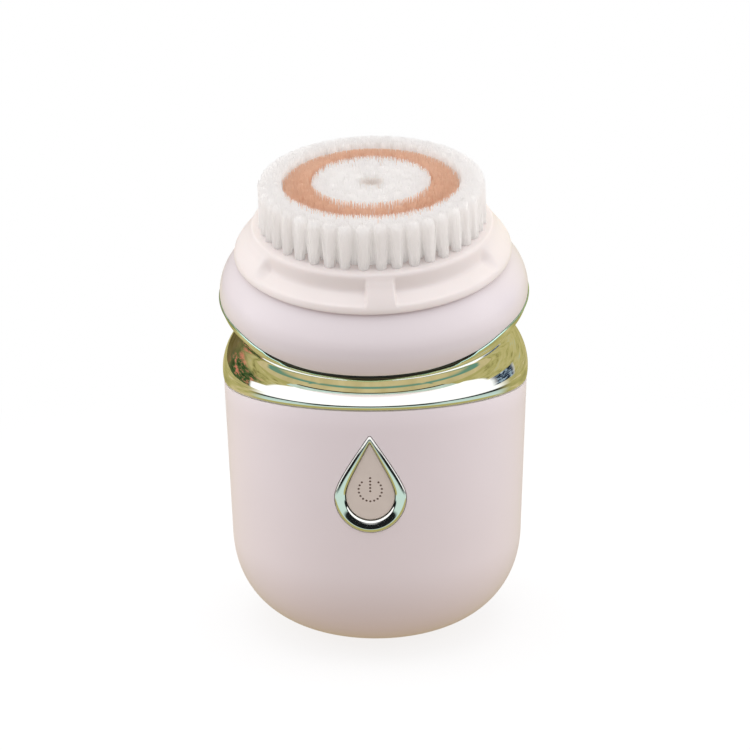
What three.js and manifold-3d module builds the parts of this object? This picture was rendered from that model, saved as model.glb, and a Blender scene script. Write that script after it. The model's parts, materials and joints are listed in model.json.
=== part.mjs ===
// Compact sonic facial cleansing brush: a cup-shaped body, a bright waist band that leans the head
// forward, a collar with a well, and a push-on brush head whose middle disc oscillates.
//
// Units are millimetres, +Z is up and the front, with its drop-shaped button, faces -Y. The origin is
// the middle of the foot pad's underside. The head is modelled upright in its own group, with w as its
// height above the top of the bent neck, and the group leans it forward.

import * as THREE from "three";
import { mergeVertices } from "three/addons/utils/BufferGeometryUtils.js";
import Module from "manifold-3d";

const wasm = await Module();
wasm.setup();

// ---------------------------------------------------------------- driving dimensions

const WALL = 2.2;
const GAP = 0.1; // between stacked pieces
const SEAM = 0.2; // between pieces that show a joint line

const FOOT_PROUD = 0.3; // the pad stands this far below the shell
const BODY_RADIUS = 27.1; // where the rounded base ends
const RIM_RADIUS = 27.7; // at the top of the shell
const BODY_HEIGHT = 46.2;
const CORNER = 18.1; // size of the rounded base
const CORNER_POWER = 2.24; // 2 would be a true arc

const TILT = THREE.MathUtils.degToRad(20.5); // how far the head leans forward
const NECK = 14.8; // length of the bent waist along its centre line
const NECK_RADIUS = NECK / TILT;

const DISC_RADIUS = 24.2; // rim of the brush head
const WELL_RADIUS = 18.8; // the brush head's tube plugs in here
const WELL_FLOOR = 6;
const DECK = 10.3; // top of the collar
const TUFT_BASE = 16;
const TUFT_TOP = 23.7;
const ROTOR_RADIUS = 14.9; // the disc that oscillates
const BRUSH_TURN = 6; // degrees that the head's grip pattern is turned from the front

const BUTTON_HEIGHT = 31.3; // centre of the drop's round end
const BEZEL_DROP = { radius: 5.98, tip: 10.9 }; // outside of the bright bezel; tip is from the centre
const WINDOW_DROP = { radius: 4.22, tip: 9.5, rise: 0.28 }; // inside of it, where the button shows

const SHAFT_RADIUS = 1.5;
const CAN_RADIUS = 9;
const CAN_LENGTH = 26;

const CELL_RADIUS = 8.25;
const CELL_LENGTH = 34.5;
const CELL_Y = 2;
const CELL_Z = 18;

const BOARD_FRONT = -19.6; // y of the circuit board's front face
const BOARD_THICK = 1.2;

const ROUND = 40; // sides of the visible round pieces
const INNER_ROUND = 20; // sides of the hidden ones

// ---------------------------------------------------------------- materials

const finish = (color, roughness, metalness = 0) =>
  new THREE.MeshStandardMaterial({ color, roughness, metalness });

const PEARL = finish(0xe6d9d6, 0.42);
const GLOSS_WHITE = finish(0xe9dfdd, 0.22);
const SATIN_WHITE = finish(0xeee4df, 0.45);
const CHROME = finish(0xd8d9cf, 0.06, 1);
const BUTTON = finish(0xc9beb2, 0.5);
const DOTS = finish(0x5a4238, 0.6);
const WHITE_NYLON = finish(0xf2ebe8, 0.6);
const PEACH_NYLON = finish(0xd79873, 0.65);
const SILICONE = finish(0xd9d4d0, 0.8);
const FRAME = finish(0xb9bcc0, 0.6);
const STEEL = finish(0xb8bcc0, 0.3, 1);
const COPPER = finish(0xb06a3c, 0.4, 1);
const DARK = finish(0x2a2b2e, 0.7);
const BOARD = finish(0x1f5a3c, 0.55);
const CELL = finish(0x3c6ea8, 0.5);
const RED_WIRE = finish(0xb02a24, 0.6);

// ---------------------------------------------------------------- helpers

const group = new THREE.Group();
const head = new THREE.Group(); // upright head frame, leaned forward about the neck
head.position.set(0, -NECK_RADIUS * (1 - Math.cos(TILT)), BODY_HEIGHT + NECK_RADIUS * Math.sin(TILT));
head.rotation.x = TILT;
head.updateMatrix();
group.add(head);

function add(parent, name, geometry, material) {
  const mesh = new THREE.Mesh(geometry, material);
  mesh.name = name;
  parent.add(mesh);
  return mesh;
}

// A solid turned about Z from [radius, height] points: from axis to axis, or a ring's closed outline.
function turned(points, segments = ROUND) {
  const closes = points[0][0] > 0;
  const loop = closes ? [...points, points[0]] : points;
  let area = 0;
  points.forEach(([r, z], i) => {
    const [nextR, nextZ] = points[(i + 1) % points.length];
    area += r * nextZ - nextR * z;
  });
  const outline = area > 0 ? loop : [...loop].reverse();
  const profile = outline.map(([r, z]) => new THREE.Vector2(r, z));
  return new THREE.LatheGeometry(profile, segments).rotateX(Math.PI / 2);
}

const ring = (inner, outer, low, high, segments = INNER_ROUND) =>
  turned([[inner, low], [outer, low], [outer, high], [inner, high]], segments);

const disc = (radius, low, high, segments = INNER_ROUND) =>
  turned([[0, low], [radius, low], [radius, high], [0, high]], segments);

// A torus of circular section, such as an O-ring.
const oRing = (radius, section, height) =>
  new THREE.TorusGeometry(radius, section, 5, 24).translate(0, 0, height);

// A box between two opposite corners.
function block([x0, y0, z0], [x1, y1, z1]) {
  const box = new THREE.BoxGeometry(x1 - x0, y1 - y0, z1 - z0);
  return box.translate((x0 + x1) / 2, (y0 + y1) / 2, (z0 + z1) / 2);
}

// A round bar along Y.
const barY = (radius, x, z, y0, y1, sides = 12) =>
  new THREE.CylinderGeometry(radius, radius, y1 - y0, sides).translate(x, (y0 + y1) / 2, z);

// A round bar along X.
const barX = (radius, y, z, x0, x1, sides = INNER_ROUND) =>
  new THREE.CylinderGeometry(radius, radius, x1 - x0, sides)
    .rotateZ(Math.PI / 2)
    .translate((x0 + x1) / 2, y, z);

// A closed tube along a smooth curve through the points.
function wire(points, radius = 0.55) {
  const path = new THREE.CatmullRomCurve3(points.map((p) => new THREE.Vector3(...p)));
  const section = new THREE.Shape();
  const sides = 6;
  for (let i = 0; i < sides; i++) {
    const a = (i / sides) * 2 * Math.PI;
    const move = i ? "lineTo" : "moveTo";
    section[move](radius * Math.cos(a), radius * Math.sin(a));
  }
  return new THREE.ExtrudeGeometry(section, { steps: 3 * points.length, extrudePath: path });
}

function toSolid(geometry) {
  const bare = geometry.clone();
  bare.deleteAttribute("normal");
  bare.deleteAttribute("uv");
  const merged = mergeVertices(bare, 1e-4);
  const vertProperties = merged.attributes.position.array;
  const triVerts = new Uint32Array(merged.index.array);
  return new wasm.Manifold(new wasm.Mesh({ numProp: 3, vertProperties, triVerts }));
}

function toGeometry(solid) {
  const mesh = solid.getMesh();
  const geometry = new THREE.BufferGeometry();
  geometry.setAttribute("position", new THREE.BufferAttribute(mesh.vertProperties, 3));
  geometry.setIndex(new THREE.BufferAttribute(mesh.triVerts, 1));
  geometry.computeVertexNormals();
  return geometry;
}

const join = (...geometries) => toGeometry(geometries.map(toSolid).reduce((a, b) => a.add(b)));

const cut = (base, ...tools) =>
  toGeometry(tools.map(toSolid).reduce((a, b) => a.subtract(b), toSolid(base)));

const common = (a, b) => toGeometry(toSolid(a).intersect(toSolid(b)));

// Bends an upright geometry along the neck: straight below the body's rim, then forward on an arc.
function bend(geometry) {
  const p = geometry.attributes.position;
  for (let i = 0; i < p.count; i++) {
    const angle = THREE.MathUtils.clamp((p.getZ(i) - BODY_HEIGHT) / NECK_RADIUS, 0, TILT);
    const along = p.getZ(i) - BODY_HEIGHT - angle * NECK_RADIUS; // straight length past the arc
    const reach = NECK_RADIUS + p.getY(i); // from the arc's centre
    p.setY(i, reach * Math.cos(angle) - NECK_RADIUS - along * Math.sin(angle));
    p.setZ(i, BODY_HEIGHT + reach * Math.sin(angle) + along * Math.cos(angle));
  }
  return geometry;
}

// A drop's outline, grown outwards by an offset: a round end with tangent sides to a small blunt tip.
function dropShape({ radius, tip, rise = 0 }, offset = 0) {
  const opening = Math.acos(radius / tip); // from the tip's direction to the tangent points
  const round = radius + offset;
  const shape = new THREE.Shape();
  shape.moveTo(0, rise + (round * tip) / radius - 0.35);
  const steps = 20;
  for (let i = 0; i <= steps; i++) {
    const angle = Math.PI / 2 + opening + (i / steps) * (2 * Math.PI - 2 * opening);
    shape.lineTo(round * Math.cos(angle), rise + round * Math.sin(angle));
  }
  shape.closePath();
  return shape;
}

// Radius of the shell's outside at a height on its nearly straight wall.
const WALL_LOW = FOOT_PROUD + CORNER;
const shellRadius = (z) =>
  BODY_RADIUS + ((RIM_RADIUS - BODY_RADIUS) * (z - WALL_LOW)) / (BODY_HEIGHT - WALL_LOW);

// A piece of a skin that follows the shell, between two depths below its surface, cut to an outline.
function dropPiece(shape, shallow, deep, hole) {
  const low = 22;
  const high = 45;
  const skin = turned([
    [shellRadius(low) - deep, low],
    [shellRadius(low) - shallow, low],
    [shellRadius(high) - shallow, high],
    [shellRadius(high) - deep, high],
  ]);
  if (hole) shape.holes.push(new THREE.Path(hole.getPoints()));
  const prism = new THREE.ExtrudeGeometry(shape, { depth: 15, bevelEnabled: false });
  return common(skin, prism.rotateX(Math.PI / 2).translate(0, -17, BUTTON_HEIGHT));
}

// Geometry in the head's frame, moved into the body's frame.
function inBody(geometry) {
  head.updateMatrix();
  return geometry.clone().applyMatrix4(head.matrix);
}

// ---------------------------------------------------------------- body shell and waist

// Radius of the rounded corner: u runs from 0 at the flat base to 1 at the straight wall.
function cornerPoint(radius, corner, base, u) {
  const a = (u * Math.PI) / 2;
  const r = radius - corner + corner * Math.sin(a) ** (2 / CORNER_POWER);
  return [r, base + corner * (1 - Math.cos(a) ** (2 / CORNER_POWER))];
}

const PAD_RADIUS = 8.5;
const PAD_THICK = 1.35;

function bodyShell() {
  const steps = 7;
  const outer = [];
  const inner = [];
  for (let i = 0; i <= steps; i++) {
    outer.push(cornerPoint(BODY_RADIUS, CORNER, FOOT_PROUD, i / steps));
    inner.push(cornerPoint(BODY_RADIUS - WALL, CORNER - WALL, FOOT_PROUD + WALL + 0.5, 1 - i / steps));
  }
  const recess = PAD_THICK + GAP;
  const tongue = RIM_RADIUS - 1.5; // locates the band
  const tongueTop = BODY_HEIGHT + 0.8;
  const shell = turned([
    [0, recess],
    [PAD_RADIUS + 0.3, recess],
    [PAD_RADIUS + 0.3, FOOT_PROUD],
    ...outer,
    [RIM_RADIUS, BODY_HEIGHT - SEAM / 2],
    [tongue, BODY_HEIGHT - SEAM / 2],
    [tongue, tongueTop],
    [RIM_RADIUS - WALL, tongueTop],
    [RIM_RADIUS - WALL, BODY_HEIGHT - 3],
    ...inner,
    [0, FOOT_PROUD + WALL + 0.5],
  ]);
  const flangeSeat = dropPiece(dropShape(BEZEL_DROP, 0.2), -3, 0.6);
  const hole = dropPiece(dropShape(WINDOW_DROP, 0.6), -3, 6);
  return cut(shell, flangeSeat, hole);
}

// The lip that cups the collar, in head coordinates. It rises highest at the sides and the back.
const CUP_OUTER = [[25.6, -0.4], [26.2, -0.1], [26.65, 0.35], [27.1, 1.2], [27.3, 2.2], [27.32, 3]];
const CUP_INNER = [[26.7, 3], [26.6, 2.2], [26.3, 1.2], [25.85, 0.5], [25.4, 0], [25, -0.4]];
const CUP_GAP = 0.08;
const CUP_SLOPE = Math.atan(0.295); // of the collar's lower edge in front

// Everything below the collar's lower edge, which a tilted plane cuts in front.
function belowCollarEdge(up) {
  const half = block([-40, -10, -40], [40, 90, up]);
  return half.rotateX(CUP_SLOPE).translate(0, -27.3, -0.25);
}

// The bright band: a fat roll above the body seam, a groove, then a flank out to the collar's cup.
function chromeBand() {
  const low = BODY_HEIGHT + SEAM / 2;
  const high = BODY_HEIGHT + NECK;
  const thick = 1.6;
  const outer = [
    [RIM_RADIUS - 0.15, low],
    [RIM_RADIUS + 0.12, low + 0.9],
    [RIM_RADIUS + 0.16, low + 2.2],
    [RIM_RADIUS + 0.1, low + 3.4],
    [RIM_RADIUS - 0.1, low + 4.5],
    [RIM_RADIUS - 0.5, low + 5.7],
    [RIM_RADIUS - 1.1, low + 6.9],
    [RIM_RADIUS - 1.85, low + 7.9],
    [RIM_RADIUS - 2.6, low + 8.8],
    [RIM_RADIUS - 3.15, low + 9.6],
    [RIM_RADIUS - 3.3, low + 10.4],
    [RIM_RADIUS - 3.1, low + 11.3],
    [RIM_RADIUS - 2.6, low + 12.3],
    [RIM_RADIUS - 1.9, low + 13.5],
    [RIM_RADIUS - 1.5, high - 0.1],
  ];
  const inner = [
    [RIM_RADIUS - 1.5 - thick, high - 0.1],
    [RIM_RADIUS - 3.25 - thick, low + 10.8],
    [RIM_RADIUS - 3.25 - thick, low + 9],
    [RIM_RADIUS - 1.2, low + 4.2],
    [RIM_RADIUS - 1.2, low],
  ];
  const cup = common(turned([...CUP_OUTER, ...CUP_INNER]), belowCollarEdge(0));
  return join(bend(turned([...outer, ...inner])), cup.applyMatrix4(head.matrix));
}

add(group, "body_shell", bodyShell(), PEARL);
add(group, "base_pad", disc(PAD_RADIUS, 0, PAD_THICK, ROUND), SILICONE);
add(group, "chrome_band", chromeBand(), CHROME);
add(group, "body_seal_ring", oRing(RIM_RADIUS - 1.85, 0.28, BODY_HEIGHT + 1.2), SILICONE);

// ---------------------------------------------------------------- collar with the brush well

const SCREW_CIRCLE = 20.6;
const SCREW_ANGLES = [45, 135, 225, 315];
const aroundHead = (geometry, degrees) =>
  geometry.translate(SCREW_CIRCLE, 0, 0).rotateZ(THREE.MathUtils.degToRad(degrees));

function topCollar() {
  const bowl = turned([
    [0, WELL_FLOOR - 1.8],
    [WELL_RADIUS + 0.6, WELL_FLOOR - 1.8],
    [WELL_RADIUS + 1.5, WELL_FLOOR - 0.8],
    [WELL_RADIUS + 1.5, DECK - WALL],
    [22.9, DECK - WALL],
    [24.9, 6.0],
    [24.9, 3.0],
    [22.6, 0.8],
    [22.6, -1.2],
    [23.3, -1.2],
    [23.3, 0.1],
    [26.0, 0.1],
    [26.6, 0.6],
    [27.1, 1.5],
    [27.3, 2.7],
    [27.3, 3.9],
    [27.05, 5.2],
    [26.55, 6.5],
    [25.8, 7.7],
    [24.95, 8.8],
    [24.15, 9.7],
    [23.3, DECK],
    [WELL_RADIUS, DECK],
    [WELL_RADIUS, WELL_FLOOR],
    [5.2, WELL_FLOOR],
    [5.0, 9],
    [0, 9],
  ]);
  const bosses = SCREW_ANGLES.map((a) => aroundHead(disc(1.75, 2.7, DECK - 1, 12), a));
  const pilots = SCREW_ANGLES.map((a) => aroundHead(disc(0.95, 1, 8, 10), a));
  const shaftHole = disc(SHAFT_RADIUS + 0.5, 0, 12);
  const sealSeat = disc(3.7, 6.9, 12);
  const cupSeat = turned([
    ...CUP_INNER.map(([r, w]) => [r - CUP_GAP, w === 3 ? w + CUP_GAP : w]).reverse(),
    [28, 3 + CUP_GAP],
    [28, -0.4],
  ]);
  const seat = common(cupSeat, belowCollarEdge(CUP_GAP));
  return cut(join(bowl, ...bosses), ...pilots, shaftHole, sealSeat, seat);
}

add(head, "top_collar", topCollar(), GLOSS_WHITE);
add(head, "collar_seal_ring", oRing(23.75, 0.25, -0.3), SILICONE);
add(head, "shaft_seal", ring(SHAFT_RADIUS + 0.08, 3.6, 7, 8.9), SILICONE);

// ---------------------------------------------------------------- button, bezel and light guide

const windowShape = (offset) => dropShape(WINDOW_DROP, offset);

function bezel() {
  const flange = dropPiece(dropShape(BEZEL_DROP), -0.4, 0.45, windowShape(0));
  const tube = dropPiece(windowShape(0.4), 0.3, 2.7, windowShape(0));
  return join(flange, tube);
}

const DOT_RADIUS = 0.2;
const ICON_RADIUS = 1.88;
const ICON_HEIGHT = 1.4; // of the icon's centre above the drop's round centre

// Centres of the dotted power symbol: a broken circle and a short bar.
function iconDots() {
  const dots = [];
  const arcDots = 15;
  const firstAngle = 45.5;
  for (let i = 0; i < arcDots; i++) {
    const angle = THREE.MathUtils.degToRad(firstAngle + (i * (360 - 2 * firstAngle)) / (arcDots - 1));
    dots.push([-ICON_RADIUS * Math.sin(angle), ICON_HEIGHT + ICON_RADIUS * Math.cos(angle)]);
  }
  const barDots = 5;
  for (let i = 0; i < barDots; i++) dots.push([0, ICON_HEIGHT - 0.18 + i * 0.567]);
  return dots;
}

// Small round pins, one for each dot, between two depths below the button's face.
function dotPins(radius, shallow, deep) {
  return iconDots().map(([x, y]) => {
    const front = -shellRadius(BUTTON_HEIGHT);
    return barY(radius, x, BUTTON_HEIGHT + y, front + shallow, front + deep, 6);
  });
}

function buttonCap() {
  const face = dropPiece(windowShape(-0.15), -0.1, 3);
  const flange = dropPiece(windowShape(0.35), 2.9, 3.5);
  return cut(join(face, flange), ...dotPins(DOT_RADIUS + 0.06, -1, 5));
}

function lightGuide() {
  return join(dropPiece(windowShape(-0.4), 3.65, 4.4), ...dotPins(DOT_RADIUS, 0, 3.9));
}

add(group, "button_bezel", bezel(), CHROME);
add(group, "button_gasket", dropPiece(windowShape(1.6), 2.35, 4.4, windowShape(0.6)), SILICONE);
add(group, "button_cap", buttonCap(), BUTTON);
add(group, "icon_light_guide", lightGuide(), DOTS);

// ---------------------------------------------------------------- circuit board

const BOARD_BACK = BOARD_FRONT + BOARD_THICK;
const SWITCH_Z = BUTTON_HEIGHT + 0.5;
const BOARD_SCREW_X = 11;
const BOARD_SCREW_Z = 41;

function mainBoard() {
  const board = block([-14, BOARD_FRONT, 20], [14, BOARD_BACK, 45]);
  const holes = [-1, 1].map((side) => barY(1.2, side * BOARD_SCREW_X, BOARD_SCREW_Z, -21, -17));
  return cut(board, ...holes);
}

function boardScrew(side) {
  const x = side * BOARD_SCREW_X;
  const screwHead = barY(1.9, x, BOARD_SCREW_Z, BOARD_FRONT - 1.2, BOARD_FRONT - GAP);
  return join(screwHead, barY(0.85, x, BOARD_SCREW_Z, BOARD_FRONT - 0.6, -13));
}

add(group, "main_board", mainBoard(), BOARD);
add(group, "control_chip", block([-9, BOARD_BACK + GAP, 24], [-2, BOARD_BACK + 1.3, 31]), DARK);
add(group, "power_inductor", block([2, BOARD_BACK + GAP, 31], [8, BOARD_BACK + 3, 37]), DARK);
const socket = block([1, BOARD_BACK + GAP, 21.5], [8, BOARD_BACK + 4, 26.5]);
add(group, "battery_connector", socket, SATIN_WHITE);
const switchBox = block([-3, BOARD_FRONT - 2.2, SWITCH_Z - 3], [3, BOARD_FRONT - GAP, SWITCH_Z + 3]);
add(group, "switch_body", switchBox, DARK);
add(group, "switch_plunger", barY(1.4, 0, SWITCH_Z, BOARD_FRONT - 3.2, BOARD_FRONT - 2.7), DARK);
add(group, "board_screw_left", boardScrew(-1), STEEL);
add(group, "board_screw_right", boardScrew(1), STEEL);
for (const [side, x] of [["left", -5.5], ["right", 4]]) {
  const led = block([x, BOARD_FRONT - 0.9, SWITCH_Z - 0.8], [x + 1.5, BOARD_FRONT - GAP, SWITCH_Z + 0.8]);
  add(group, `icon_led_${side}`, led, SATIN_WHITE);
}

// ---------------------------------------------------------------- chassis

const FLANGE_LOW = 1; // heights of the chassis flange in the head's frame
const FLANGE_HIGH = 2.5;

function chassisFrame() {
  const flange = inBody(ring(10.7, 22.2, FLANGE_LOW, FLANGE_HIGH, ROUND));
  const rail = (side) => block([side * 19.1 - 0.9, -7, 9.6], [side * 19.1 + 0.9, 5, 72]);
  const abovePlane = inBody(block([-40, -40, FLANGE_HIGH - 0.2], [40, 40, 40]));
  const cradle = block([-18.5, CELL_Y - 7, 9.6], [18.5, CELL_Y + 7, 15]);
  const bars = [
    block([-18.5, -9, 38], [18.5, -7, 42]),
    block([-18.5, -9, 21], [18.5, -7, 24]),
    block([-20, -9, 9.6], [-18.2, -6.5, 42]),
    block([18.2, -9, 9.6], [20, -6.5, 42]),
    block([-13, CELL_Y - 1.5, 3.8], [-11, CELL_Y + 1.5, 10]),
    block([11, CELL_Y - 1.5, 3.8], [13, CELL_Y + 1.5, 10]),
  ];
  const standOff = (radius, side, z) => barY(radius, side * BOARD_SCREW_X, z, BOARD_BACK + GAP, -8);
  const posts = [-1, 1].map((side) => standOff(2.2, side, BOARD_SCREW_Z));
  const feet = [-1, 1].map((side) => standOff(1.6, side, 22.5));
  const rails = cut(join(rail(-1), rail(1)), abovePlane);
  const body = join(rails, flange, cradle, ...bars, ...posts, ...feet);
  const cellSpace = barX(CELL_RADIUS + 0.2, CELL_Y, CELL_Z, -18.2, 18.2);
  const pilots = [-1, 1].map((side) => barY(0.95, side * BOARD_SCREW_X, BOARD_SCREW_Z, -19, -12));
  const screwHoles = SCREW_ANGLES.map((a) => inBody(aroundHead(disc(1.1, 0, 4, 10), a)));
  return cut(body, cellSpace, ...pilots, ...screwHoles);
}

add(group, "chassis_frame", chassisFrame(), FRAME);
SCREW_ANGLES.forEach((angle, i) => {
  const screw = turned([[0, -0.6], [1.6, -0.6], [1.6, 0.9], [0.85, 0.9], [0.85, 7.2], [0, 7.2]], 10);
  add(head, `chassis_screw_${i + 1}`, aroundHead(screw, angle), STEEL);
});

// ---------------------------------------------------------------- battery and charging coil

const cellEnd = CELL_LENGTH / 2;
const COIL_Z = FOOT_PROUD + WALL + 0.5 + GAP;

function batteryStrap() {
  const band = new THREE.Shape();
  band.absarc(0, 0, CELL_RADIUS + 0.9, 0, Math.PI, false);
  band.absarc(0, 0, CELL_RADIUS + 0.3, Math.PI, 0, true);
  const strap = new THREE.ExtrudeGeometry(band, { depth: 8, bevelEnabled: false, curveSegments: 14 });
  return strap.rotateX(Math.PI / 2).rotateZ(Math.PI / 2).translate(-4, CELL_Y, CELL_Z);
}

function batteryTab(side) {
  const x = side * (cellEnd + 0.3);
  return block([x - 0.15, CELL_Y - 2.5, CELL_Z - 3], [x + 0.15, CELL_Y + 2.5, CELL_Z + 9.6]);
}

add(group, "battery_cell", barX(CELL_RADIUS, CELL_Y, CELL_Z, -cellEnd, cellEnd), CELL);
add(group, "battery_strap", batteryStrap(), DARK);
add(group, "battery_tab_positive", batteryTab(1), STEEL);
add(group, "battery_tab_negative", batteryTab(-1), STEEL);
add(group, "charging_coil", ring(3, 7.6, COIL_Z, COIL_Z + 1.2), COPPER);
add(group, "ferrite_shield", disc(8, COIL_Z + 1.3, COIL_Z + 1.9), DARK);

// ---------------------------------------------------------------- sonic motor and drive

const CAN_LOW = -CAN_LENGTH;

function motorCan() {
  return turned([
    [CAN_RADIUS - 0.7, CAN_LOW],
    [CAN_RADIUS, CAN_LOW],
    [CAN_RADIUS, 0],
    [4, 0],
    [4, 1.4],
    [3.1, 1.4],
    [3.1, -1.2],
    [CAN_RADIUS - 0.7, -1.2],
  ], INNER_ROUND);
}

function motorEndCap() {
  return turned([
    [SHAFT_RADIUS + 0.5, CAN_LOW],
    [CAN_RADIUS - 0.8, CAN_LOW],
    [CAN_RADIUS - 0.8, CAN_LOW + 1.2],
    [4, CAN_LOW + 1.2],
    [4, CAN_LOW + 3],
    [3.1, CAN_LOW + 3],
    [3.1, CAN_LOW + 0.8],
    [SHAFT_RADIUS + 0.5, CAN_LOW + 0.8],
  ], INNER_ROUND);
}

// The spline that drives the brush: a round hub with rounded lobes.
function lobed(radius, lobes, depth) {
  const shape = new THREE.Shape();
  const steps = lobes * 4;
  for (let i = 0; i < steps; i++) {
    const angle = (i / steps) * 2 * Math.PI;
    const r = radius + depth * Math.cos(lobes * angle);
    const move = i ? "lineTo" : "moveTo";
    shape[move](r * Math.cos(angle), r * Math.sin(angle));
  }
  return shape;
}

function splineBar(radius, low, high) {
  const options = { depth: high - low, bevelEnabled: false };
  return new THREE.ExtrudeGeometry(lobed(radius, 8, 0.4), options).translate(0, 0, low);
}

const HUB_LOW = 9.3;
const HUB_HIGH = 12.3;

add(head, "motor_can", motorCan(), STEEL);
add(head, "motor_end_cap", motorEndCap(), DARK);
add(head, "motor_coil", ring(5.6, CAN_RADIUS - 0.9, -21, -5), COPPER);
add(head, "front_bearing", ring(SHAFT_RADIUS + 0.08, 3, -1.1, 1.3), STEEL);
add(head, "rear_bearing", ring(SHAFT_RADIUS + 0.08, 3, CAN_LOW + 0.9, CAN_LOW + 2.9), STEEL);
add(head, "motor_mount_ring", ring(CAN_RADIUS + GAP, 10.4, -1.5, 3), SILICONE);
add(head, "motor_shaft", disc(SHAFT_RADIUS, CAN_LOW + 0.9, 11.6), STEEL);
add(head, "rotor_magnet", ring(SHAFT_RADIUS + 0.05, 5.2, -20, -6), DARK);
const hub = cut(splineBar(3.9, HUB_LOW, HUB_HIGH), disc(SHAFT_RADIUS + 0.05, 9, 11.7));
add(head, "drive_hub", hub, SATIN_WHITE);

// ---------------------------------------------------------------- brush head

const TUBE_OUTER = 18.4;
const TUBE_INNER = 17;
const BORE = 15.3;
const LIP = 16.1; // the disc's flange under the ring
const GRIPS = 4; // finger recesses round the skirt, in two pairs
const GRIP_SPAN = THREE.MathUtils.degToRad(51);
const GRIP_RIB = THREE.MathUtils.degToRad(12); // the rib between the two of a pair

// Section of a finger recess: a steep inner wall, then a floor that slopes out to a low lip.
const RECESS = [[21.2, 12.8], [22.2, 12.4], [23.3, 11.7], [23.6, 12.2], [23.8, 16.8], [21.3, 16.8]];

function gripCutter(index) {
  const front = -Math.PI / 2 + THREE.MathUtils.degToRad(BRUSH_TURN);
  const side = ((index % 2 ? 1 : -1) * (GRIP_RIB + GRIP_SPAN)) / 2;
  const middle = front + Math.floor(index / 2) * Math.PI + side;
  const sector = new THREE.Shape();
  sector.moveTo(19 * Math.cos(middle), 19 * Math.sin(middle));
  sector.absarc(0, 0, 26, middle - GRIP_SPAN / 2, middle + GRIP_SPAN / 2, false);
  sector.closePath();
  const prism = new THREE.ExtrudeGeometry(sector, { depth: 6, bevelEnabled: false, curveSegments: 8 });
  return common(turned(RECESS), prism.translate(0, 0, 11));
}

function brushRing() {
  const skirt = turned([
    [BORE, 13.2],
    [TUBE_INNER, 13.2],
    [TUBE_INNER, 6.5],
    [TUBE_OUTER - 0.3, 6.5],
    [TUBE_OUTER, 6.9],
    [TUBE_OUTER, 7.9],
    [TUBE_OUTER - 0.45, 7.9],
    [TUBE_OUTER - 0.45, 8.9],
    [TUBE_OUTER, 8.9],
    [TUBE_OUTER, DECK + 0.25],
    [DISC_RADIUS - 0.2, DECK + 0.25],
    [DISC_RADIUS, DECK + 0.5],
    [DISC_RADIUS - 0.05, DECK + 0.9],
    [DISC_RADIUS - 0.5, 12],
    [DISC_RADIUS - 1.35, 13.05],
    [21.95, 14.05],
    [21.2, 15],
    [20.8, 15.75],
    [20.3, TUFT_BASE],
    [BORE, TUFT_BASE],
  ]);
  const grips = Array.from({ length: GRIPS }, (_, i) => gripCutter(i));
  return cut(skirt, ...grips);
}

function brushDisc() {
  const plate = turned([
    [0, 9.6],
    [6.2, 9.6],
    [6.2, 12.55],
    [LIP, 12.55],
    [LIP, 13.05],
    [ROTOR_RADIUS, 13.05],
    [ROTOR_RADIUS, TUFT_BASE],
    [0, TUFT_BASE],
  ]);
  return cut(plate, splineBar(4.15, 9, HUB_HIGH + 0.5));
}

// The packed tufts: the fixed outer ring stands highest and its top slopes in to the moving ones.
function outerBristles() {
  return turned([
    [15.6, TUFT_BASE + GAP],
    [19.7, TUFT_BASE + GAP],
    [19.75, TUFT_TOP - 1.2],
    [19.5, TUFT_TOP - 0.4],
    [18.7, TUFT_TOP],
    [15.8, TUFT_TOP],
    [15.3, TUFT_TOP - 0.5],
  ]);
}

function orangeBristles() {
  return turned([
    [10.3, TUFT_BASE + GAP],
    [14.7, TUFT_BASE + GAP],
    [15.0, TUFT_TOP - 1.2],
    [10.4, TUFT_TOP - 1.1],
  ]);
}

function innerBristles() {
  return turned([
    [1.4, TUFT_BASE + GAP],
    [10.1, TUFT_BASE + GAP],
    [10.1, TUFT_TOP - 0.5],
    [9.6, TUFT_TOP - 0.15],
    [2.2, TUFT_TOP - 0.2],
    [1.4, TUFT_TOP - 0.8],
  ]);
}

add(head, "brush_ring", brushRing(), SATIN_WHITE);
add(head, "head_snap_ring", ring(TUBE_OUTER - 0.35, TUBE_OUTER + 0.2, 8.05, 8.75, ROUND), SILICONE);
add(head, "rotor_retainer", ring(14.2, TUBE_INNER - GAP, 11.6, 12.3, 32), SATIN_WHITE);
add(head, "outer_bristles", outerBristles(), WHITE_NYLON);
add(head, "brush_disc", brushDisc(), SATIN_WHITE);
add(head, "orange_bristles", orangeBristles(), PEACH_NYLON);
add(head, "inner_bristles", innerBristles(), WHITE_NYLON);

// ---------------------------------------------------------------- leads

const TAB_TOP = CELL_Z + 9.6;

function batteryLead(side) {
  const x = side * 17.6;
  const plugX = 4.5 + side * 1.6;
  const points = [
    [x - side * 1.2, CELL_Y, TAB_TOP + 0.8],
    [side * 15, CELL_Y - 3, TAB_TOP + 2],
    [side * 12, -7.5 + CELL_Y, TAB_TOP + 2.2],
    [plugX + side * 1.5, -10.5, 27.5],
    [plugX, -13.2, 25],
  ];
  return wire(points);
}

// Motor leads run from the rear of the motor down to the board.
function motorLead(side) {
  const points = [
    [side * 5.4, 7.4, 34.6],
    [side * 6, 3, 33.5],
    [side * 8.2, -4, 34],
    [side * 9.6, -11, 34.4],
    [side * 9.8, -18.2, 34.4],
  ];
  return wire(points, 0.5);
}

// Coil leads climb from the charging coil beside the cell to the foot of the board.
function coilLead(side) {
  const points = [
    [side * 2.2, -9, COIL_Z + 1.9],
    [side * 2.6, -12, 8.5],
    [side * 3, -14.6, 13],
    [side * 3.2, -16.2, 18],
    [side * 3.2, -17.2, 20.5],
  ];
  return wire(points, 0.5);
}

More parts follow.
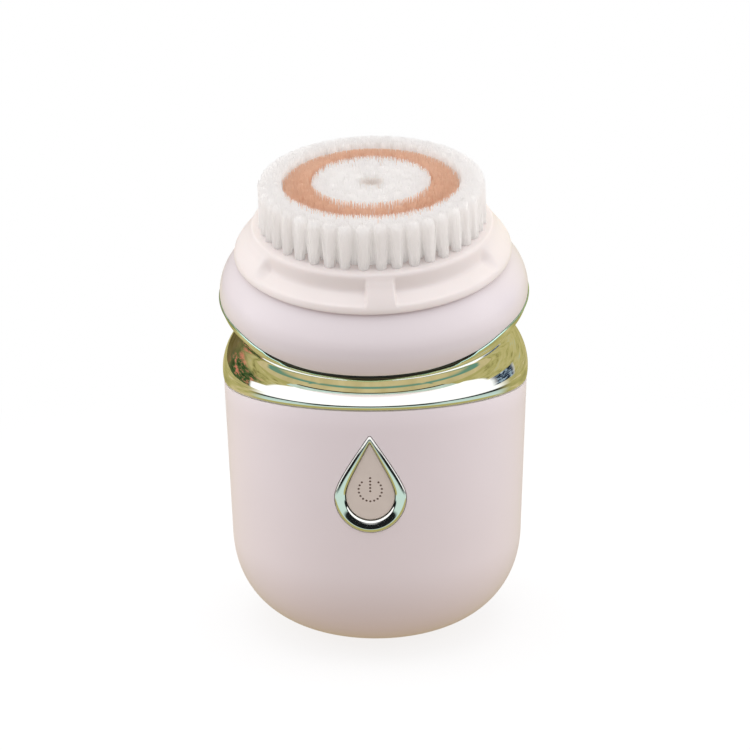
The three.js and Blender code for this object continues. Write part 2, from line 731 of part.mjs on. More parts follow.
add(group, "battery_lead_red", batteryLead(1), RED_WIRE);
add(group, "battery_lead_black", batteryLead(-1), DARK);
for (const [label, side] of [["a", -1], ["b", 1]]) {
  add(group, `motor_lead_${label}`, motorLead(side), COPPER);
  add(group, `coil_lead_${label}`, coilLead(side), COPPER);
}

export default group;
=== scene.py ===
"""Looks for a compact facial cleansing brush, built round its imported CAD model.

The row frame is used throughout: metres, +Z up, the button faces -Y. Sizes below are in
millimetres, as on the product's drawing, and MM turns them into metres. The head's pieces are drawn
upright, with w as the height above the top of the bent neck, and to_head() leans them forward.
"""

import json
import math
from collections import namedtuple

import bmesh
import bpy
import numpy as np
from mathutils import Matrix, Vector


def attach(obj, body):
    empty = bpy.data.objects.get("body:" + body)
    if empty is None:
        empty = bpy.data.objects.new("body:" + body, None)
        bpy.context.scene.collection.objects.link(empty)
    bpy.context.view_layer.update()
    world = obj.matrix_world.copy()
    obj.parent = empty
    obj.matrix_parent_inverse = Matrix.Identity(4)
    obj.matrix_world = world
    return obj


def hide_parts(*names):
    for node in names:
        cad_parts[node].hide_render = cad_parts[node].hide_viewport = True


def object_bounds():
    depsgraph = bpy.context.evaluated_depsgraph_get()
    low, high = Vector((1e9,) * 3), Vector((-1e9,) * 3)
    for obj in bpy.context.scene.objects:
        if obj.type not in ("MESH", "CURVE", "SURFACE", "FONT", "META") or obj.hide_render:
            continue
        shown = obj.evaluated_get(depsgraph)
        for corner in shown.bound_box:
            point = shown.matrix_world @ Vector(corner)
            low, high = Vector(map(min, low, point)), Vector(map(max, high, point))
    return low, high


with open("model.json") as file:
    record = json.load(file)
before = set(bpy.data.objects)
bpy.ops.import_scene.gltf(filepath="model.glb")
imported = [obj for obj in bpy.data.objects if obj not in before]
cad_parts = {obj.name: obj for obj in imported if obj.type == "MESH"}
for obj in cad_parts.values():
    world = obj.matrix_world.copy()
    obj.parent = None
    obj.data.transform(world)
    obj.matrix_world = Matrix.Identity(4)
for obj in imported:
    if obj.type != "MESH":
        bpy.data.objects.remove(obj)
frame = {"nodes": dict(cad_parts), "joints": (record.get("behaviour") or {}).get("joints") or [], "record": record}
cad_low, cad_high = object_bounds()

MM = 0.001

# ------------------------------------------------------------------ sizes, in millimetres

WALL = 2.2
FOOT_PROUD = 0.3
PAD_RADIUS, PAD_THICK = 8.5, 1.35
BODY_RADIUS, RIM_RADIUS, BODY_HEIGHT = 27.1, 27.7, 46.2
CORNER, CORNER_POWER = 18.1, 2.24
NECK = 14.8
WELL_RADIUS, WELL_FLOOR, DECK = 18.8, 6.0, 10.3
TUFT_BASE, TUFT_TOP = 16.0, 23.7
BORE = 15.3
TUBE_OUTER, TUBE_INNER = 18.4, 17.0
BRUSH_TURN = math.radians(5.2)
BUTTON_HEIGHT = 31.3

ROUND = 256  # sides of the visible turned pieces

# The head's frame comes from the drive's joint: a point on its axis and the leaned direction.
drive = next(j for j in frame["joints"] if j["name"] == "drive_oscillation")
HEAD_ORIGIN = np.array(drive["pos_m"]) / MM
TILT = math.atan2(-drive["axis"][1], drive["axis"][2])
NECK_RADIUS = NECK / TILT


# ------------------------------------------------------------------ camera


def place_camera():
    """Looks at the brush from just above its waist, close enough for clear perspective."""
    azimuth, elevation, roll = math.radians(2.2), math.radians(12.4), math.radians(-0.56)
    distance, side, height = 0.220, -0.00008, 0.0461
    flat = math.cos(elevation)
    back = Vector((math.sin(azimuth) * flat, -math.cos(azimuth) * flat, math.sin(elevation)))
    level = Vector((math.cos(azimuth), math.sin(azimuth), 0))
    up = back.cross(level)
    right = math.cos(roll) * level + math.sin(roll) * up
    rolled_up = back.cross(right)
    place = level * side + Vector((0, 0, height)) + back * distance
    data = bpy.data.cameras.new("camera")
    data.lens = 57.2
    data.sensor_width = 36
    data.clip_start = 0.01
    camera = bpy.data.objects.new("camera", data)
    bpy.context.scene.collection.objects.link(camera)
    turn = Matrix((right, rolled_up, back)).transposed().to_4x4()
    camera.matrix_world = Matrix.Translation(place) @ turn
    bpy.context.scene.camera = camera


place_camera()


# ------------------------------------------------------------------ node trees


class Tree:
    """A short way to write a shader node tree."""

    def __init__(self, tree):
        self.tree = tree
        self.nodes = tree.nodes
        self.nodes.clear()

    def node(self, kind, settings=None, **inputs):
        made = self.nodes.new(kind)
        for key, value in (settings or {}).items():
            setattr(made, key, value)
        for key, value in inputs.items():
            self.put(made, key, value)
        return made

    def put(self, node, key, value):
        """Sets a socket, by name with _ for a space or by number as _0, or links it. A node that is
        given as the value stands for its first output."""
        socket = node.inputs[int(key[1:])] if key[1:].isdigit() else node.inputs[key.replace("_", " ")]
        if isinstance(value, bpy.types.Node):
            value = value.outputs[0]
        if isinstance(value, bpy.types.NodeSocket):
            self.tree.links.new(value, socket)
        else:
            socket.default_value = value

    def math(self, operation, a, b=0.0, clamp=False):
        made = self.node("ShaderNodeMath", {"operation": operation, "use_clamp": clamp}, _0=a, _1=b)
        return made.outputs[0]

    def attribute(self, name):
        return self.node("ShaderNodeAttribute", {"attribute_name": name}).outputs["Fac"]

    def ray(self, kind):
        """1 where the light path's ray is of this kind, and 0 elsewhere."""
        return self.node("ShaderNodeLightPath").outputs[f"Is {kind} Ray"]

    def mix_shaders(self, share, a, b):
        return self.node("ShaderNodeMixShader", _0=share, _1=a, _2=b)

    def show(self, shader, kind="Material"):
        self.node(f"ShaderNodeOutput{kind}", Surface=shader)

    def noise(self, vector, scale, detail=2.0, roughness=0.5):
        made = self.node(
            "ShaderNodeTexNoise", Vector=vector, Scale=scale, Detail=detail, Roughness=roughness
        )
        return made.outputs["Fac"]

    def spread(self, value, low, high, out_low, out_high, kind="LINEAR"):
        made = self.node("ShaderNodeMapRange", {"interpolation_type": kind}, Value=value)
        for number, limit in enumerate((low, high, out_low, out_high), 1):
            made.inputs[number].default_value = limit
        return made.outputs[0]

    def mix(self, factor, a, b):
        made = self.node("ShaderNodeMix", {"data_type": "RGBA"})
        for number, value in ((0, factor), (6, a), (7, b)):
            self.put(made, f"_{number}", value)
        return made.outputs[2]

    def ramp(self, value, stops):
        made = self.node("ShaderNodeValToRGB", Fac=value)
        elements = made.color_ramp.elements
        while len(elements) < len(stops):
            elements.new(0.5)
        for element, (place, colour) in zip(elements, stops):
            element.position = place
            element.color = (*colour, 1)
        return made.outputs["Color"]


def rgb(red, green, blue):
    """A colour given in display values from 0 to 255, as linear light."""

    def linear(value):
        value /= 255
        return value / 12.92 if value <= 0.04045 else ((value + 0.055) / 1.055) ** 2.4

    return (linear(red), linear(green), linear(blue))


def shade(colour, factor):
    return tuple(min(1.0, c * factor) for c in colour)


# ------------------------------------------------------------------ materials

made_materials = {}


def new_material(name):
    """A material kept under its name, its empty node tree, and the place on the piece."""
    material = bpy.data.materials.new(name)
    material.use_nodes = True
    made_materials[name] = material
    t = Tree(material.node_tree)
    return material, t, t.node("ShaderNodeTexCoord").outputs["Object"]


def surface(
    name, colour, roughness, metallic=0.0, coat=0.0, coat_roughness=0.1, vary=0.04, patch=6.0, grain=0.35,
    depth=0.004, rough_vary=0.05, subsurface=0.0, specular=0.5, mirrored=0.0,
):  # fmt: skip
    """Moulded, plated or painted stock: mottled colour, uneven gloss and a fine skin. patch and grain
    are the sizes of the mottling and of the skin's texture in mm, and depth is the skin's relief.
    mirrored is the strength of a glow that only glossy rays see: a painted reflection that makes the piece look
    lighter in the bright trim beside it."""
    material, t, place = new_material(name)
    mottle = t.spread(t.noise(place, 1000 / patch, 3), 0.3, 0.7, 0, 1)
    tint = t.mix(mottle, (*shade(colour, 1 - vary), 1), (*shade(colour, 1 + vary), 1))
    gloss = t.noise(place, 1000 / (patch * 0.4), 4, 0.6)
    rough = t.spread(gloss, 0.3, 0.7, max(0.01, roughness - rough_vary), roughness + rough_vary)
    skin = t.noise(place, 1000 / grain, 2)
    bump = t.node("ShaderNodeBump", Strength=0.6, Distance=depth * MM, Height=skin)
    shader = t.node(
        "ShaderNodeBsdfPrincipled",
        Base_Color=tint,
        Roughness=rough,
        Metallic=metallic,
        Normal=bump,
        Coat_Weight=coat,
        Coat_Roughness=coat_roughness,
        Specular_IOR_Level=specular,
        Subsurface_Weight=subsurface,
    )
    shader.inputs["Subsurface Radius"].default_value = (0.004, 0.003, 0.0025)
    shader.inputs["Subsurface Scale"].default_value = 0.3
    # Painted reflection: the piece glows, for glossy rays only, so that it looks lighter in the bright trim beside
    # it.
    if mirrored:
        t.put(shader, "Emission_Color", tint)
        t.put(shader, "Emission_Strength", t.math("MULTIPLY", t.ray("Glossy"), mirrored))
    t.show(shader)
    return material


def nylon(name, light, dark, let_through, inner_light):
    """Fine filament: each one has its own tone, and lets a share of the light through."""
    material, t, place = new_material(name)
    own = t.node("ShaderNodeNewGeometry").outputs["Random Per Island"]
    lean = t.node("ShaderNodeMapping", Vector=place)
    lean.inputs["Rotation"].default_value = (-TILT, 0, 0)
    lean.inputs["Scale"].default_value = (1, 1, 0.08)
    streak = t.noise(lean, 1000 / 0.35, 2)
    tone = t.math("ADD", t.math("MULTIPLY", own, 0.6), t.math("MULTIPLY", streak, 0.4), clamp=True)
    tint = t.mix(tone, (*dark, 1), (*light, 1))
    # The small pit in the middle is a real dip, and its soft shade is partly painted: the tufts there are mixed
    # towards a darker tone.
    pit = t.attribute("pit")
    tint = t.mix(t.math("MULTIPLY", pit, 0.5), tint, (*rgb(214, 198, 184), 1))
    rough = t.spread(own, 0, 1, 0.42, 0.62)
    bump = t.node("ShaderNodeBump", Strength=0.3, Distance=0.02 * MM, Height=streak)
    shader = t.node(
        "ShaderNodeBsdfPrincipled",
        Base_Color=tint,
        Roughness=rough,
        Normal=bump,
        Sheen_Weight=0.3,
        Sheen_Roughness=0.4,
    )
    through = t.node("ShaderNodeBsdfTranslucent", Color=tint)
    mixed = t.mix_shaders(let_through, shader, through)
    # A painted glow stands in for light that has scattered many times between the filaments and fills the tufts
    # from within.
    within = t.node("ShaderNodeEmission", Color=tint, Strength=inner_light)
    filled = t.node("ShaderNodeAddShader", _0=mixed, _1=within)
    # Fine filament hardly shades what is behind it, so over half of the light passes it by.
    clear = t.node("ShaderNodeBsdfTransparent")
    t.show(t.mix_shaders(t.math("MULTIPLY", t.ray("Shadow"), 0.6), filled, clear))
    return material


def banded(name, colour, dark, roughness, metallic, pitch, direction="Z"):
    """Wound or turned stock: fine parallel bands, pitch mm apart."""
    material, t, place = new_material(name)
    lean = t.node("ShaderNodeMapping", Vector=place)
    lean.inputs["Rotation"].default_value = (-TILT, 0, 0)
    wave = t.node(
        "ShaderNodeTexWave",
        {"bands_direction": direction},
        Vector=lean,
        Scale=1000 / pitch / 6.2832 * 2,
        Distortion=0.6,
        Detail=1.0,
    )
    fleck = t.noise(place, 900, 3)
    tone = t.math("ADD", t.math("MULTIPLY", wave.outputs["Fac"], 0.7), t.math("MULTIPLY", fleck, 0.3))
    tint = t.mix(tone, (*dark, 1), (*colour, 1))
    rough = t.spread(fleck, 0.3, 0.7, roughness - 0.06, roughness + 0.08)
    bump = t.node("ShaderNodeBump", Strength=0.5, Distance=0.03 * MM, Height=wave.outputs["Fac"])
    shader = t.node(
        "ShaderNodeBsdfPrincipled", Base_Color=tint, Roughness=rough, Metallic=metallic, Normal=bump
    )
    t.show(shader)
    return material


pearl = surface(
    "pearl_shell", rgb(234, 224, 227), 0.42, coat=0.14, coat_roughness=0.25,
    vary=0.008, patch=14, depth=0.002, rough_vary=0.02, specular=0.35,
)  # fmt: skip
# The collar's faint glow for glossy rays is a painted reflection of it in the band.
gloss_white = surface(
    "gloss_collar", rgb(231, 222, 225), 0.34, coat=0.3, coat_roughness=0.2,
    vary=0.006, patch=14, depth=0.001, rough_vary=0.015, mirrored=0.6,
)  # fmt: skip
satin_white = surface(
    "satin_white", rgb(238, 229, 226), 0.42, coat=0.15, coat_roughness=0.3,
    vary=0.012, patch=5, subsurface=0.12,
)  # fmt: skip
chrome = surface(
    "chrome", (0.86, 0.87, 0.84), 0.045, metallic=1,
    vary=0.02, patch=4, grain=1.5, depth=0.0006, rough_vary=0.012,
)  # fmt: skip
button_satin = surface(
    "button_satin", rgb(217, 206, 197), 0.5, vary=0.02, patch=2, grain=0.12, depth=0.006
)
icon_dots = surface("icon_dots", rgb(92, 72, 62), 0.5, vary=0.15, patch=0.4, grain=0.1)
nylon("white_nylon", rgb(253, 252, 251), rgb(246, 243, 241), 0.4, 0.1)
nylon("peach_nylon", rgb(240, 208, 184), rgb(226, 188, 160), 0.35, 0.13)
surface("silicone", rgb(214, 208, 204), 0.7, vary=0.03, patch=3, grain=0.2, depth=0.01)
surface("frame_plastic", rgb(196, 198, 200), 0.55, vary=0.05, patch=7, grain=0.3, depth=0.01)
surface("dark_plastic", rgb(44, 45, 49), 0.5, vary=0.2, patch=2, grain=0.15, depth=0.008)
surface("steel", (0.6, 0.61, 0.62), 0.3, metallic=1, vary=0.06, patch=2, grain=0.2, depth=0.004)
banded("copper", rgb(206, 128, 84), rgb(120, 62, 36), 0.38, 1.0, 0.25)
surface("board", rgb(30, 92, 62), 0.4, coat=0.4, vary=0.22, patch=1.6, grain=0.5, depth=0.02)
banded("cell", rgb(64, 118, 178), rgb(50, 96, 150), 0.42, 0.0, 6.0, "X")
surface("red_wire", rgb(186, 44, 38), 0.45, vary=0.08, patch=1.5, grain=0.2, depth=0.01)
surface("black_wire", rgb(38, 38, 42), 0.45, vary=0.15, patch=1.5, grain=0.2, depth=0.01)

# Colours that the plated trim mirrors: the room's, and those of the waist's painted reflections.
OLIVE, MINT, TAN, TEAL = rgb(184, 176, 112), rgb(208, 232, 222), rgb(212, 196, 146), rgb(96, 150, 132)
BLACK, WHITE = (0.012, 0.014, 0.014), (1.25, 1.25, 1.24)


def waist_material(name, shader_of, edged):
    """For the two pieces that face each other across the waist's groove. To glossy rays each glows with a painted
    reflection of the other: a warm band with a fine teal streak, which follows the rise attribute, in mm above the
    body's rim. An edged piece's painted reflection also shows the dark and pale lines of the seam."""
    material, t, place = new_material(name)
    rise = t.attribute("rise")
    line, end = (BLACK, MINT) if edged else (TAN, OLIVE)
    stops = [
        (0.0, OLIVE), (0.2, TAN), (0.33, TAN), (0.38, TEAL), (0.45, TEAL), (0.49, TAN), (0.72, TAN),
        (0.75, line), (0.82, line), (0.85, end), (1.0, end),
    ]  # fmt: skip
    streak = t.ramp(t.spread(rise, 10, 15, 0, 1), stops)
    cloud = t.noise(place, 1000 / 3.0, 3, 0.6)
    streak = t.mix(t.spread(cloud, 0.35, 0.7, 0, 0.35), streak, (*rgb(150, 140, 84), 1))
    # Painted reflection: glossy rays see this glow instead of the surface.
    mirrored = t.node("ShaderNodeEmission", Color=streak, Strength=1.0)
    t.show(t.mix_shaders(t.ray("Glossy"), shader_of(t, place), mirrored))
    return material


# The seal is near black: painted shade that stands in for the gap under the collar.
def seal_painted_shade(t, place):
    tint = t.mix(t.noise(place, 1000 / 2.0, 3), (0.008, 0.009, 0.01, 1), (0.02, 0.021, 0.023, 1))
    return t.node("ShaderNodeBsdfPrincipled", Base_Color=tint, Roughness=0.5, Specular_IOR_Level=0.06)


def plated(t, place):
    tint = t.mix(t.noise(place, 1000 / 8.0, 3), (0.84, 0.85, 0.82, 1), (0.88, 0.89, 0.86, 1))
    # The bead along the band's top edge is tinted mint: a painted reflection of a pale line.
    lip = t.attribute("lip")
    tint = t.mix(lip, tint, (*rgb(206, 238, 228), 1))
    rough = t.spread(t.noise(place, 1000 / 3.0, 4, 0.6), 0.3, 0.7, 0.03, 0.06)
    return t.node("ShaderNodeBsdfPrincipled", Base_Color=tint, Roughness=rough, Metallic=1.0)


# The seal's near-black tone is painted shade for the gap under the collar; to glossy rays both waist pieces show
# painted reflections.
seam_painted_shade = waist_material("seam_painted_shade", seal_painted_shade, True)
waist_chrome = waist_material("waist_chrome", plated, False)

SLOT_MATERIAL = {**made_materials, "icon": icon_dots}

# Every CAD node, shown or stood for, gets its slot's material.
for subpart in frame["record"]["subparts"]:
    data = frame["nodes"][subpart["node"]].data
    data.materials.clear()
    data.materials.append(SLOT_MATERIAL[subpart["material_slot"]])


# ------------------------------------------------------------------ shapes


def to_head(points):
    """Upright head coordinates to the row frame, both in mm."""
    x, y, w = points.T
    sin, cos = math.sin(TILT), math.cos(TILT)
    return np.stack([x, y * cos - w * sin, y * sin + w * cos], 1) + HEAD_ORIGIN


def bent(points):
    """Bends upright geometry along the neck: straight below the rim, then forward on an arc."""
    x, y, z = points.T
    angle = np.clip((z - BODY_HEIGHT) / NECK_RADIUS, 0, TILT)
    along = z - BODY_HEIGHT - angle * NECK_RADIUS
    reach = NECK_RADIUS + y
    forward = reach * np.cos(angle) - NECK_RADIUS - along * np.sin(angle)
    height = BODY_HEIGHT + reach * np.sin(angle) + along * np.cos(angle)
    return np.stack([x, forward, height], 1)


def upright(points):
    return points


def smooth_curve(points, steps=8):
    """A curve through the points, as a longer list of points."""
    before, after = 2 * np.array(points[0]) - points[1], 2 * np.array(points[-1]) - points[-2]
    p = np.array([before, *points, after], float)
    out = []
    for a, b, c, d in zip(p, p[1:], p[2:], p[3:]):
        for t in np.arange(steps) / steps:
            square, cube = 2 * a - 5 * b + 4 * c - d, 3 * b - a - 3 * c + d
            out.append(0.5 * (2 * b + (c - a) * t + square * t**2 + cube * t**3))
    out.append(p[-2])
    return [tuple(q) for q in out]


def softened(points, radius, steps=4):
    """A closed outline with its sharp corners rounded, as far as the sides' lengths allow."""
    out = []
    count = len(points)
    for i in range(count):
        a, b, c = (np.array(points[(i + k - 1) % count], float) for k in range(3))
        into, away = a - b, c - b
        room = min(np.linalg.norm(into), np.linalg.norm(away))
        turn = np.dot(into, away) / (np.linalg.norm(into) * np.linalg.norm(away) + 1e-12)
        if turn < -0.97 or b[0] < 1e-6 or room < 1e-6:
            out.append(tuple(b))
            continue
        cut = min(radius, 0.45 * room)
        start, end = b + into / np.linalg.norm(into) * cut, b + away / np.linalg.norm(away) * cut
        for t in np.linspace(0, 1, steps + 1):
            out.append(tuple((1 - t) ** 2 * start + 2 * t * (1 - t) * b + t**2 * end))
    return out


def turned(outline, sides=ROUND):
    """Vertices and faces of an outline of (radius, height) turned about Z. It closes on itself."""
    verts, rows = [], []
    for r, z in outline:
        if r < 1e-6:
            rows.append([len(verts)] * sides)
            verts.append((0.0, 0.0, z))
            continue
        rows.append(list(range(len(verts), len(verts) + sides)))
        angles = np.arange(sides) * 2 * math.pi / sides
        verts.extend(zip(r * np.cos(angles), r * np.sin(angles), [z] * sides))
    faces = []
    for low, high in zip(rows, rows[1:] + rows[:1]):
        if low[0] == low[1] and high[0] == high[1]:
            continue
        for i in range(sides):
            j = (i + 1) % sides
            corners = [low[i], low[j], high[j], high[i]]
            face = [v for k, v in enumerate(corners) if v != corners[k - 1]]
            if len(face) > 2:
                faces.append(face)
    return np.array(verts, float), faces


def turn_outwards(mesh):
    """Makes all faces look outwards."""
    work = bmesh.new()
    work.from_mesh(mesh)
    bmesh.ops.recalc_face_normals(work, faces=work.faces)
    work.to_mesh(mesh)
    work.free()


def piece(name, verts, faces, place, material, body, replaced, sharp=40):
    """A finished piece of the brush, from points in mm that place() puts in the row frame. It stands
    for the replaced CAD nodes, and edges above sharp degrees stay sharp."""
    mesh = bpy.data.meshes.new(name)
    mesh.from_pydata((place(np.asarray(verts, float)) * MM).tolist(), [], faces)
    mesh.materials.append(material)
    turn_outwards(mesh)
    mesh.shade_smooth()
    if sharp:
        mesh.set_sharp_from_angle(angle=math.radians(sharp))
    made = bpy.data.objects.new(name, mesh)
    bpy.context.scene.collection.objects.link(made)
    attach(made, body)
    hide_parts(*replaced)
    return made


def cut_with(target, verts, faces):
    """Takes a closed shape, in mm, out of a piece."""
    mesh = bpy.data.meshes.new("cutter")
    mesh.from_pydata((np.asarray(verts) * MM).tolist(), [], faces)
    turn_outwards(mesh)
    cutter = bpy.data.objects.new("cutter", mesh)
    bpy.context.scene.collection.objects.link(cutter)
    modifier = target.modifiers.new("cut", "BOOLEAN")
    modifier.operation = "DIFFERENCE"
    modifier.solver = "EXACT"
    modifier.object = cutter
    bpy.context.view_layer.update()
    evaluated = target.evaluated_get(bpy.context.evaluated_depsgraph_get())
    result = bpy.data.meshes.new_from_object(evaluated)
    target.modifiers.clear()
    old = target.data
    target.data = result
    bpy.data.objects.remove(cutter)
    bpy.data.meshes.remove(old)
    result.shade_smooth()
    result.set_sharp_from_angle(angle=math.radians(35))


# ------------------------------------------------------------------ body shell


def corner(radius, size, base, u):
    """A point on the rounded base: u runs from 0 at the flat to 1 at the wall."""
    a = u * math.pi / 2
    return (
        radius - size + size * math.sin(a) ** (2 / CORNER_POWER),
        base + size * (1 - math.cos(a) ** (2 / CORNER_POWER)),
    )


WALL_LOW = FOOT_PROUD + CORNER


def shell_radius(z):
    return BODY_RADIUS + (RIM_RADIUS - BODY_RADIUS) * (z - WALL_LOW) / (BODY_HEIGHT - WALL_LOW)


def drop(radius, tip, slope, lift, reach, rise, offset=0.0, steps=28):
    """A drop's outline in (x, z) about the button's centre, grown by an offset: half a circle below,
    then sides that curve to a point. slope is the width per height at the tip, lift and reach shape
    the sides, and rise is the round end's height above the button's centre."""
    a, b, c, d = np.array([(radius, 0.0), (radius, lift), (reach, tip - reach / slope), (0.0, tip)])
    half = [
        (1 - t) ** 3 * a + 3 * t * (1 - t) ** 2 * b + 3 * t**2 * (1 - t) * c + t**3 * d
        for t in np.linspace(0, 0.985, steps)
    ]
    below = [
        np.array((radius * math.cos(turn), -radius * math.sin(turn)))
        for turn in np.linspace(math.pi / 2, 0, steps, endpoint=False)
    ]
    right = below + half
    left = [np.array((-x, z)) for x, z in reversed(right[1:])]
    outline = np.array(right + [np.array((0.0, half[-1][1] + 0.02))] + left)
    if offset:
        ahead, behind = np.roll(outline, -1, 0), np.roll(outline, 1, 0)
        along = ahead - behind
        normal = np.stack([along[:, 1], -along[:, 0]], 1)
        outline = outline + offset * normal / np.linalg.norm(normal, axis=1)[:, None]
    return outline + (0.0, rise)


BEZEL_DROP = (5.98, 10.9, 0.68, 1.7, 4.1, 0.0)
WINDOW_DROP = (4.2, 9.5, 0.53, 1.7, 2.85, 0.28)
CUT_FROM, CUT_TO = -32.0, -18.0  # where the cuts for the button start, and where the inner one ends


def on_shell(outline, proud):
    """Places (x, z) points on the front of the shell, proud of it by some mm."""
    x, z = outline[:, 0], outline[:, 1] + BUTTON_HEIGHT
    radius = shell_radius(z) + proud
    return np.stack([x, -np.sqrt(radius**2 - x**2), z], 1)


def loft(rings, close_ends=True):
    """Faces across rings of equal length. The rings close on themselves, or end in flat caps."""
    count = len(rings[0])
    verts = np.concatenate(rings)
    faces = []
    pairs = list(zip(range(len(rings)), range(1, len(rings))))
    if not close_ends:
        pairs.append((len(rings) - 1, 0))
    for a, b in pairs:
        for i in range(count):
            j = (i + 1) % count
            faces.append([a * count + i, a * count + j, b * count + j, b * count + i])
    if close_ends:
        faces.append(list(range(count))[::-1])
        faces.append([(len(rings) - 1) * count + i for i in range(count)])
    return verts, faces


def joined(parts):
    """Several shapes' vertices and faces as one shape's."""
    verts, faces = [], []
    for part_verts, part_faces in parts:
        faces += [[len(verts) + corner for corner in face] for face in part_faces]
        verts += part_verts.tolist()
    return verts, faces


def section(outline, angle):
    """An outline of (radius, height) placed at an angle round the axis."""
    radius, height = outline.T
    return np.stack([radius * math.cos(angle), radius * math.sin(angle), height], 1)


def upright_ring(shape, y):
    """An (x, z) outline about the button's centre as a flat ring at a depth y."""
    return np.stack([shape[:, 0], np.full(len(shape), y), shape[:, 1] + BUTTON_HEIGHT], 1)


def seat_plug(shape, depth, rings=6):
    """A plug whose outer end is flat and whose inner end follows the shell."""
    layers = [upright_ring(shape, CUT_FROM)]
    for share in np.linspace(1, 0.02, rings):
        layers.append(on_shell(shape * share, -depth))
    return loft(layers)


def make_shell():
    steps = 40
    outer = [corner(BODY_RADIUS, CORNER, FOOT_PROUD, i / steps) for i in range(steps + 1)]
    floor = FOOT_PROUD + WALL + 0.5
    inner = [corner(BODY_RADIUS - WALL, CORNER - WALL, floor, 1 - i / 20) for i in range(21)]
    top = BODY_HEIGHT - 0.1
    recess = PAD_RADIUS + 0.3
    outline = [
        (0, PAD_THICK + 0.1), (recess, PAD_THICK + 0.1), (recess, FOOT_PROUD + 0.15),
        (PAD_RADIUS + 0.42, FOOT_PROUD),
        *outer,
        *[(shell_radius(z), z) for z in np.linspace(WALL_LOW + 2, top - 0.2, 9)],
        (RIM_RADIUS - 0.05, top - 0.06), (RIM_RADIUS - 0.2, top), (RIM_RADIUS - 1.5, top),
        (RIM_RADIUS - 1.5, top + 0.9), (RIM_RADIUS - WALL, top + 0.9), (RIM_RADIUS - WALL, top - 3),
        *inner,
        (0, floor),
    ]  # fmt: skip
    verts, faces = turned(outline)
    shell = piece("shell", verts, faces, upright, pearl, "housing", ["body_shell"])
    cut_with(shell, *seat_plug(drop(*BEZEL_DROP, offset=0.06), 0.6))
    through = drop(*WINDOW_DROP, offset=0.55)
    cut_with(shell, *loft([upright_ring(through, CUT_FROM), upright_ring(through, CUT_TO)]))


make_shell()


# ------------------------------------------------------------------ waist band and collar

# The waist's section over the body's rim: a roll, a narrow groove, and a flare that cups the collar.
SWELL = [
    (27.70, 0.3), (27.82, 1.1), (27.86, 2.2), (27.80, 3.4), (27.62, 4.5), (27.28, 5.7), (26.75, 6.9),
    (26.10, 7.9), (25.35, 8.75),
]  # fmt: skip
FLARE = [
    (25.35, 8.75), (24.65, 9.4), (24.20, 9.95), (24.05, 10.5), (24.20, 11.1), (24.60, 11.8),
    (25.10, 12.6), (25.60, 13.4), (26.00, 14.2),
]  # fmt: skip
CUP = [
    (26.05, 14.7), (26.4, 15.1), (26.75, 15.5), (27.0, 15.9), (27.18, 16.4), (27.32, 17.0),
    (27.38, 17.6), (27.4, 18.3),
]  # fmt: skip
CUP_SLOPE, CUP_FRONT = 0.295, -0.25
BEAD = 0.16  # its radius
SEAL_SINK, SEAL_THICK = 0.03, 0.45  # how far the dark seal lies under the band's face, and its back


def collar_edge(angle):
    """Height of the collar's lower edge over the neck: level at the sides and back, sloping in front."""
    slope = CUP_FRONT + CUP_SLOPE * 27.3 * (1 + math.sin(angle))
    return 3.0 - math.log1p(math.exp((3.0 - slope) * 4)) / 4


def seam_width(angle):
    """The near-black seam under the collar, painted shade for the gap there, is a fine line that widens in front.
    """
    ahead = max(0.0, -math.sin(angle))
    return 0.1 + 4.6 * max(0.0, (ahead - 0.76) / 0.24) ** 0.8


def keep_values(target, name, values):
    """Gives each vertex a value that a material reads."""
    kept = target.data.attributes.new(name, "FLOAT", "POINT")
    kept.data.foreach_set("value", np.asarray(values, np.float32))


